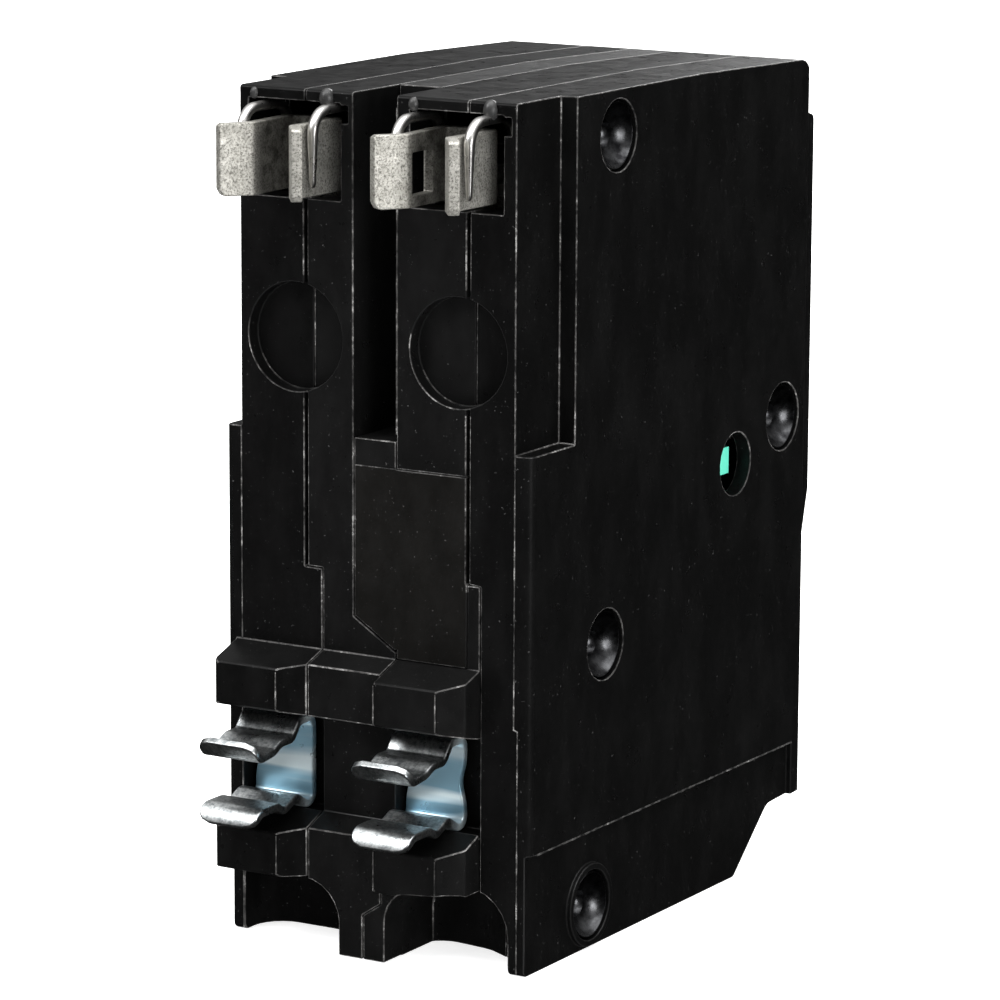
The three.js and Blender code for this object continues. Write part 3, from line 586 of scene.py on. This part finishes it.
def section(half_thickness, low, high, corner):
    """A strip's outline across: (out from the middle line, width place), with round corners."""
    if corner == 0:
        front = [(half_thickness, low), (half_thickness, high)]
        return front + [(-half_thickness, high), (-half_thickness, low)]
    radius = corner * min(half_thickness, (high - low) / 2)
    corners = [(1, high), (-1, high), (-1, low), (1, low)]
    points = []
    for quarter, (side, end) in enumerate(corners):
        out = side * (half_thickness - radius)
        across = end - radius if end == high else end + radius
        for k in range(4):
            angle = math.radians(90 * quarter + 30 * k)
            points.append((out + radius * math.cos(angle), across + radius * math.sin(angle)))
    return points


def skin(name, rings):
    """A closed mesh over rings of points, which all have the same count, with capped ends."""
    bm = bmesh.new()
    rows = [[bm.verts.new(place) for place in ring] for ring in rings]
    for first, second in zip(rows, rows[1:]):
        for k, vert in enumerate(first):
            after_it = (k + 1) % len(first)
            bm.faces.new((vert, first[after_it], second[after_it], second[k]))
    bm.faces.new(rows[0][::-1])
    bm.faces.new(rows[-1])
    bmesh.ops.recalc_face_normals(bm, faces=bm.faces)
    return mesh_of(bm, name)


def strip_mesh(name, path, thickness, edges, where, corner=0):
    """A bent strip: path is its middle line, thickness(along, total) and edges(point, along,
    total) give its thickness and both ends of its width at a station, and where(a, b, w)
    places a point of the path's plane and of the width. corner rounds the section's corners,
    from 0 for square to 1 for as round as they can be."""
    rows = []
    total = sum((b - a).length for a, b in zip(path, path[1:]))
    along = 0
    for i, point in enumerate(path):
        before = (point - path[i - 1]).normalized() if i else (path[1] - point).normalized()
        after = (path[i + 1] - point).normalized() if i < len(path) - 1 else before
        tangent = (before + after).normalized()
        if i:
            along += (point - path[i - 1]).length
        half = thickness(along, total) / 2 / max(0.5, tangent.dot(before))
        normal = Vector((-tangent.y, tangent.x))
        row = []
        for out, across in section(half, *edges(point, along, total), corner):
            place = point + normal * out
            row.append(where(place.x, place.y, across))
        rows.append(row)
    return skin(name, rows)


def round_end(distance, radius):
    """How far a strip's edge is drawn in at a distance from its end, for a round corner."""
    if distance >= radius:
        return 0
    return radius - math.sqrt(max(0, radius**2 - (radius - distance) ** 2))


def cut_by(obj, cutter):
    """Cuts a solid out of obj for good, and removes the cutter."""
    modifier = obj.modifiers.new("cut", "BOOLEAN")
    modifier.object = cutter
    modifier.operation = "DIFFERENCE"
    modifier.solver = "EXACT"
    bpy.context.view_layer.update()
    graph = bpy.context.evaluated_depsgraph_get()
    mesh = bpy.data.meshes.new_from_object(obj.evaluated_get(graph))
    obj.modifiers.clear()
    obj.data = mesh
    bpy.data.objects.remove(cutter)


def block_object(x0, x1, y0, y1, z0, z1):
    """A box between the places given in millimetres, to cut with."""
    bm = bmesh.new()
    bmesh.ops.create_cube(bm, size=1)
    for v in bm.verts:
        v.co = spot(
            x0 if v.co.x < 0 else x1,
            y0 if v.co.y < 0 else y1,
            z0 if v.co.z < 0 else z1,
        )
    return placed("cutter", mesh_of(bm, "cutter"))


def even(measure):
    """The function of a strip's measure that is the same all along."""
    return lambda *_: measure


# ---- line jaws: sheet bent round the stab, with flared lips ----
def line_jaw(pole, side):
    """Both blades and the web of a jaw; the right one has a window in its left blade."""
    x = side * POLE_PITCH / 2
    left = [
        (x - JAW_HALF - JAW_FLARE, JAW_TIP),
        (x - JAW_HALF, JAW_THROAT, JAW_THROAT_BEND),
        (x - JAW_HALF - JAW_BULGE, JAW_WEB, JAW_WEB_BEND),
    ]
    right = [(2 * x - corner[0], *corner[1:]) for corner in reversed(left)]

    def edges(point, along, total):
        from_tip = min(along, total - along)
        bottom = JAW_BOTTOM + round_end(from_tip, JAW_LOWER_CORNER)
        return bottom, JAW_TOP - round_end(from_tip, JAW_UPPER_CORNER)

    name = pole + "_jaw_blades"
    path = spaced(rounded(left + right), STATION)
    mesh = strip_mesh(name, path, even(JAW_PLATE), edges, spot)
    jaw = make_piece(name, mesh, "housing", "tinned_copper", pole + "_line_jaw")
    if pole == "right":
        across = [x + edge for edge in JAW_WINDOW["x"]]
        cut_by(jaw, block_object(*across, *JAW_WINDOW["y"], *JAW_WINDOW["z"]))
    bevel(jaw, JAW_ROUND, segments=3, angle=STRIP_BEVEL_OVER)
    shade(jaw)


def jaw_tail(pole, side):
    """The strip that leads from the jaw's web down to the fixed contact."""
    x = side * POLE_PITCH / 2
    name = pole + "_jaw_tail"
    edges = even((x - TAIL_HALF, x + TAIL_HALF))
    mesh = strip_mesh(name, rounded(TAIL_PATH), even(JAW_PLATE), edges, on_side)
    tail = make_piece(name, mesh, "housing", "tinned_copper")
    bevel(tail, TAIL_ROUND)
    shade(tail)


# ---- polished springs that arch over the blades and squeeze them together ----
def spring_taper(along, total):
    """The front leg thins out to a point over its last few millimetres."""
    return SPRING_THICKNESS * min(1, 0.55 + 0.45 * along / SPRING_POINT)


def spring_arch(pole, side, blade):
    """The strip over one blade, round-cornered in section."""
    near, far, top = SPRING_ARCHES[blade]
    x = side * POLE_PITCH / 2
    name = f"{pole}_jaw_spring_{blade}"
    corners = [
        (SPRING_FRONT, SPRING_FEET["front"]),
        (SPRING_FRONT, top, SPRING_BEND),
        (SPRING_BACK, top, SPRING_BEND),
        (SPRING_BACK, SPRING_FEET["back"]),
    ]

    def edges(point, along, total):
        slim = SPRING_POINT_SLIM * max(0, 1 - along / SPRING_POINT) + round_end(along, 0.25)
        return x + near + slim, x + far - slim

    path = spaced(rounded(corners), STATION)
    mesh = strip_mesh(name, path, spring_taper, edges, on_side, corner=SPRING_ROUNDING)
    replaced = [pole + "_jaw_spring"] if blade == "left" else []
    shade(make_piece(name, mesh, "housing", "spring_steel", *replaced))


def spring_bridge(pole, side):
    """The strip behind the jaw's web that joins the two arches."""
    x = side * POLE_PITCH / 2
    name = pole + "_jaw_spring_bridge"
    line = [Vector((x + end, SPRING_BACK)) for end in BRIDGE_REACH]
    mesh = strip_mesh(name, line, even(SPRING_THICKNESS), even(BRIDGE_HEIGHT), spot)
    bridge = make_piece(name, mesh, "housing", "spring_steel")
    bevel(bridge, BRIDGE_ROUND)
    shade(bridge)


# ---- return springs: wire coils in the place of the CAD springs ----
def coil_rings(low, high):
    """Rings of round wire along a helix about Y that fills the box from low to high, in
    metres. Half a turn lies flat at each end, as a closed coil's does."""
    wire = COIL_WIRE * MM
    centre = (low + high) / 2
    radius = (high.x - low.x) / 2 - wire
    count = COIL_TURNS * COIL_STEPS
    rings = []
    for i in range(count + 1):
        angle = 2 * math.pi * i / COIL_STEPS
        climb = min(1, max(0, (i / COIL_STEPS - 0.5) / (COIL_TURNS - 1)))
        outward = Vector((math.cos(angle), 0, math.sin(angle)))
        y = low.y + wire + climb * (high.y - low.y - 2 * wire)
        middle = Vector((centre.x, y, centre.z))
        ring = []
        for k in range(COIL_SIDES):
            turn = 2 * math.pi * k / COIL_SIDES
            across = outward * math.cos(turn) + Vector((0, math.sin(turn), 0))
            ring.append(middle + outward * radius + wire * across)
        rings.append(ring)
    return rings


def return_spring(node):
    """A coil in the place of node."""
    low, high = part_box(node)
    name = node + "_coil"
    coil = make_piece(name, skin(name, coil_rings(low, high)), "housing", "spring_steel", node)
    shade(coil)
    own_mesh(coil)


# ---- rail clips: bright plated strip, creased across and drawn in at the waist ----
# corners of the strip's middle line, as (Y, Z) or (Y, Z, radius)
CLIP_PATH = [
    (-9.6, 23.7),
    (-8.3, 21.9, 0.9),
    (-5.7, 22.2, 1.5),
    (-4.2, 22.9, 1.5),
    (-2.1, 22.9, 1),
    (-0.7, 24.6, 0.8),
    (2.1, 24.6, 1),
    (2.1, 15.2, 1),
    (0.6, 15.2, 1),
    (-1.3, 16.3, 1),
    (-3.7, 15.3, 1),
    (-5, 16, 1),
    (-8.7, 16, 1.6),
    (-9.4, 14.4),
]


def rail_clip(pole):
    """The strip of a clip; the left one keeps a straight right edge."""
    low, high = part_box(pole + "_rail_clip")
    left, right = low.x / MM, high.x / MM
    name = pole + "_clip_strip"

    def edges(point, along, total):
        from_tip = min(along, total - along)
        waist = WAIST_DEPTH * math.exp(-(((point.y - WAIST_Z) / WAIST_LENGTH) ** 2))
        draw = round_end(from_tip, CLIP_CORNER)
        right_waist = waist if pole == "right" else 0
        return left + draw + waist, right - draw - right_waist

    path = spaced(rounded(CLIP_PATH), CLIP_STATION)
    mesh = strip_mesh(name, path, even(CLIP_THICKNESS), edges, on_side)
    clip = make_piece(name, mesh, "housing", "zinc", pole + "_rail_clip")
    bevel(clip, CLIP_ROUND, segments=3, angle=STRIP_BEVEL_OVER)
    shade(clip)


# ---- tubular rivets: a shank whose ends are rolled out into dished heads ----
# the right head, as (along the axis from RIVET_END, radius)
RIVET_PROFILE = [
    (-2.5, 0),
    (-2.5, 1.2),
    (-2.3, 1.45),
    (-1.78, 1.7),
    (-1.6, 2.1),
    (-1.25, 2.6),
    (-0.8, 3.05),
    (-0.35, 3.36),
    (-0.05, 3.5),
    (0, 3.58),
    (-0.08, 3.65),
    (-1.8, 3.65),
    (-1.85, RIVET_RADIUS),
]


def ring_places(x, y, z, radius):
    """The places round a circle about an X axis, or its middle if the radius is 0."""
    if radius == 0:
        return [spot(x, y, z)]
    angles = [2 * math.pi * k / RIVET_SIDES for k in range(RIVET_SIDES)]
    return [spot(x, y + radius * math.cos(a), z + radius * math.sin(a)) for a in angles]


def turned(name, rings, y, z):
    """A solid of revolution about the X axis through (y, z), from (x, radius) rings."""
    bm = bmesh.new()
    loops = [[bm.verts.new(p) for p in ring_places(x, y, z, radius)] for x, radius in rings]
    for first, second in zip(loops, loops[1:]):
        for k in range(RIVET_SIDES):
            near = [first[k % len(first)], first[(k + 1) % len(first)]]
            far = [second[(k + 1) % len(second)], second[k % len(second)]]
            bm.faces.new(list(dict.fromkeys(near + far)))
    bmesh.ops.recalc_face_normals(bm, faces=bm.faces)
    return mesh_of(bm, name)


def rivet(name, y, z):
    """A rivet in the place of the node called name, right through the case."""
    right = [(RIVET_END + along, radius) for along, radius in RIVET_PROFILE]
    left = [(-x, radius) for x, radius in reversed(right)]
    piece_name = name + "_rolled"
    mesh = turned(piece_name, right + left, y, z)
    shade(make_piece(piece_name, mesh, "housing", "rivet_steel", name))


# ---- mould flash: fine raised lines along parting lines and corners, pale partly as painted highlight ----
def flash_line(name, path, low, high, where, width=FLASH):
    """A fine uneven ridge along path, standing from low to high out of its plane."""
    stations = spaced([Vector(p) for p in path], FLASH_STATION)

    def unevenness(along, total):
        return width * (1 + 0.35 * math.sin(along * 1.9) * math.sin(along * 0.73 + 1))

    mesh = strip_mesh(name, stations, unevenness, even((low, high)), where)
    piece = make_piece(name, mesh, "housing", "case_black")
    # pale flash colour, partly a painted highlight along the line
    piece.data.materials[0] = FLASH_AND_HIGHLIGHT


def pocket_highlight_arc(name, x, radius, depth, start, end):
    """An arc of painted highlight round a pocket, as a fine pale ridge, between two angles seen
    from the back.
    """
    turns = [start + (end - start) * k / ARC_PARTS for k in range(ARC_PARTS + 1)]
    angles = [math.radians(turn) for turn in turns]
    path = [(x + radius * math.cos(a), POCKET_Z + radius * math.sin(a)) for a in angles]
    flash_line(name, path, depth - PROUD, depth + PROUD, on_back, width=FINE_FLASH)


def back_flash():
    """The lines down the back's outer corners and along the slot."""
    outer = HALF_WIDTH - 2
    right = [(outer, 56), (outer, 26.9), (outer + 0.45, 26.7), (outer + 0.45, 0.3)]
    left = [(-outer, 56), (-outer, 0.3)]
    flash_line("flash_back_right", right, -PROUD, PROUD, on_back)
    flash_line("flash_back_left", left, -PROUD, PROUD, on_back)
    slot_left = [(SLOT_LEFT, 37.5), (SLOT_LEFT, SLOT_TOP)]
    slot_right = [(SLOT_RIGHT, 57), (SLOT_RIGHT, SLOT_TOP)]
    flash_line("flash_slot_left", slot_left, -0.04, PROUD, on_back, width=FINE_FLASH)
    flash_line("flash_slot_right", slot_right, -0.04, PROUD, on_back, width=0.08)


def ledge_flash_and_highlight():
    """The line along each side's ledge near the load end: a pale ridge of flash that is also a
    painted highlight along the ledge's edge.
    """
    ledge = [(1.6, LEDGE_Z), (59.9, LEDGE_Z)]
    inner = HALF_WIDTH - 0.3
    flash_line("flash_and_highlight_ledge_right", ledge, inner, HALF_WIDTH, on_side, width=LEDGE_FLASH)
    flash_line("flash_and_highlight_ledge_left", ledge, -HALF_WIDTH, -inner, on_side, width=LEDGE_FLASH)


def panel_flash():
    """The line that carries the panel's top edge on to the slot's left side."""
    panel_top = [(-2.7, PANEL_TOP), (2.5, PANEL_TOP)]
    flash_line("flash_panel_top", panel_top, -0.03, PROUD, on_back, width=FINE_FLASH)


def rib_flash():
    """The seams where they cross the faces of the two ribs."""
    for rib, low, high in (("upper", 26.7, 30.8), ("lower", 8.4, 12.7)):
        for place, x in (("left", -9.7), ("middle", 2.6), ("right", 10.25)):
            name = f"flash_rib_{rib}_{place}"
            flash_line(name, [(x, low), (x, high)], -4.8, -4.7, on_back, width=0.12)


def pocket_seams_and_highlights():
    """The seam across each pocket's floor, and arcs of painted highlight on the lower left of
    its rim and its floor.
    """
    for name, x in (("left", -8.66), ("right", 11.44)):
        seam = [(x, 61), (x, 71.8)]
        flash_line(f"flash_pocket_seam_{name}", seam, 1.62, 1.72, on_back, width=FINE_FLASH)
    for name, side in POLES.items():
        x = side * POCKET_X
        # painted highlight: pale arcs only on the lower left of each pocket's rim and floor,
        # where light catches the rim
        pocket_highlight_arc(f"flash_pocket_{name}", x, POCKET_RADIUS + 0.06, 0, 165, 285)
        floor_radius = POCKET_RADIUS - 0.08
        pocket_highlight_arc(f"flash_pocket_{name}_floor", x, floor_radius, POCKET_FLOOR, 205, 290)


# ---- gate lumps: what is left of the sprues on the thin bars above the jaws ----
def gate_lump(name, x, radius):
    """A small upright bump, sunk a little into the bar under it, grey as a painted highlight."""
    bm = bmesh.new()
    bmesh.ops.create_uvsphere(bm, u_segments=20, v_segments=12, radius=radius * MM)
    for v in bm.verts:
        v.co.z *= GATE_HEIGHT
        v.co += spot(x, 0.1, BAR_TOP - radius * 0.2)
    lump = make_piece(name, mesh_of(bm, name), "housing", "case_black")
    # grey painted highlight on the lump
    lump.data.materials[0] = GATE_HIGHLIGHT_GREY
    shade(lump)


for pole_name, pole_side in POLES.items():
    line_jaw(pole_name, pole_side)
    jaw_tail(pole_name, pole_side)
    for blade_name in SPRING_ARCHES:
        spring_arch(pole_name, pole_side, blade_name)
    spring_bridge(pole_name, pole_side)
    rail_clip(pole_name)
for rivet_name, (rivet_y, rivet_z) in RIVETS.items():
    rivet(rivet_name, rivet_y, rivet_z)
return_spring("plunger_spring")
return_spring("test_spring")
back_flash()
ledge_flash_and_highlight()
panel_flash()
rib_flash()
pocket_seams_and_highlights()
for gate_name, (gate_x, gate_radius) in GATES.items():
    gate_lump(gate_name, gate_x, gate_radius)


# ---- camera, floor and light ----
CAMERA_LENS = 176.5
CAMERA_PLACE = (270.86, -430.92, 149.89)
CAMERA_RIGHT = (0.8596, 0.5110, 0.0048)
CAMERA_UP = (-0.1027, 0.1635, 0.9812)
CAMERA_BACK = (0.5006, -0.8439, 0.1931)
# name: place and target in metres, size in metres, watts
AREA_LIGHTS = {
    "key": ((-0.35, -0.45, 0.55), (0, 0, 0.05), (0.3, 0.3), 2.4),
    "side": ((0.75, -0.36, 0.14), (0, 0, 0.06), (0.3, 0.35), 3.4),
    "front_fill": ((-0.15, 0.8, 0.4), (0, 0, 0.05), (0.4, 0.4), 4),
}
CEILING_FROM = (0.1, -0.15, 1)
CEILING_STRENGTH = 3.4
CEILING_SPREAD = 70
# the room's grey by elevation, from the floor up to overhead
ROOM_BANDS = [(0.0, 0.03), (0.12, 0.04), (0.3, 0.1), (0.55, 0.7), (1.0, 0.9)]


def camera():
    data = bpy.data.cameras.new("camera")
    data.lens = CAMERA_LENS
    data.sensor_width = 36
    data.clip_start = 0.01
    data.clip_end = 20
    obj = placed("camera", data)
    turn = Matrix((CAMERA_RIGHT, CAMERA_UP, CAMERA_BACK)).transposed().to_4x4()
    obj.matrix_world = Matrix.Translation(spot(*CAMERA_PLACE)) @ turn
    bpy.context.scene.camera = obj


def floor():
    """A pale floor that glows a little and isn't mirrored in the object."""
    bm = bmesh.new()
    bmesh.ops.create_grid(bm, x_segments=1, y_segments=1, size=4)
    obj = placed("floor", mesh_of(bm, "floor"))
    g = Graph("floor_white")
    g.set(Base_Color=(0.9, 0.9, 0.9, 1), Roughness=1.0, Specular_IOR_Level=0.0)
    g.set(Emission_Color=(1, 1, 1, 1), Emission_Strength=0.8)
    obj.data.materials.append(g.material)
    obj.visible_glossy = False


def facing(direction):
    """The turn of a light that shines along direction."""
    return Vector(direction).to_track_quat("-Z", "Y").to_euler()


def area_light(name, place, target, size, watts):
    data = bpy.data.lights.new(name, "AREA")
    data.shape = "RECTANGLE"
    data.size, data.size_y = size
    data.energy = watts
    obj = placed(name, data)
    obj.location = place
    obj.rotation_euler = facing(Vector(target) - Vector(place))


def ceiling():
    """A broad soft light from overhead."""
    data = bpy.data.lights.new("ceiling", "SUN")
    data.energy = CEILING_STRENGTH
    data.angle = math.radians(CEILING_SPREAD)
    placed("ceiling", data).rotation_euler = facing(-Vector(CEILING_FROM))


def world():
    """A dim room under a bright ceiling, as elevation bands."""
    room = bpy.data.worlds.new("studio")
    room.use_nodes = True
    tree = room.node_tree
    up = tree.nodes.new("ShaderNodeSeparateXYZ")
    tree.links.new(tree.nodes.new("ShaderNodeTexCoord").outputs["Generated"], up.inputs[0])
    ramp = tree.nodes.new("ShaderNodeValToRGB")
    tree.links.new(up.outputs["Z"], ramp.inputs[0])
    stops = ramp.color_ramp.elements
    while len(stops) < len(ROOM_BANDS):
        stops.new(0.5)
    for stop, (height, level) in zip(stops, ROOM_BANDS):
        stop.position = height
        stop.color = (level, level, level, 1)
    tree.links.new(ramp.outputs["Color"], tree.nodes["Background"].inputs["Color"])
    bpy.context.scene.world = room
    bpy.context.scene.view_settings.view_transform = "Standard"


camera()
floor()
world()
ceiling()
for light_name, light in AREA_LIGHTS.items():
    area_light(light_name, *light)
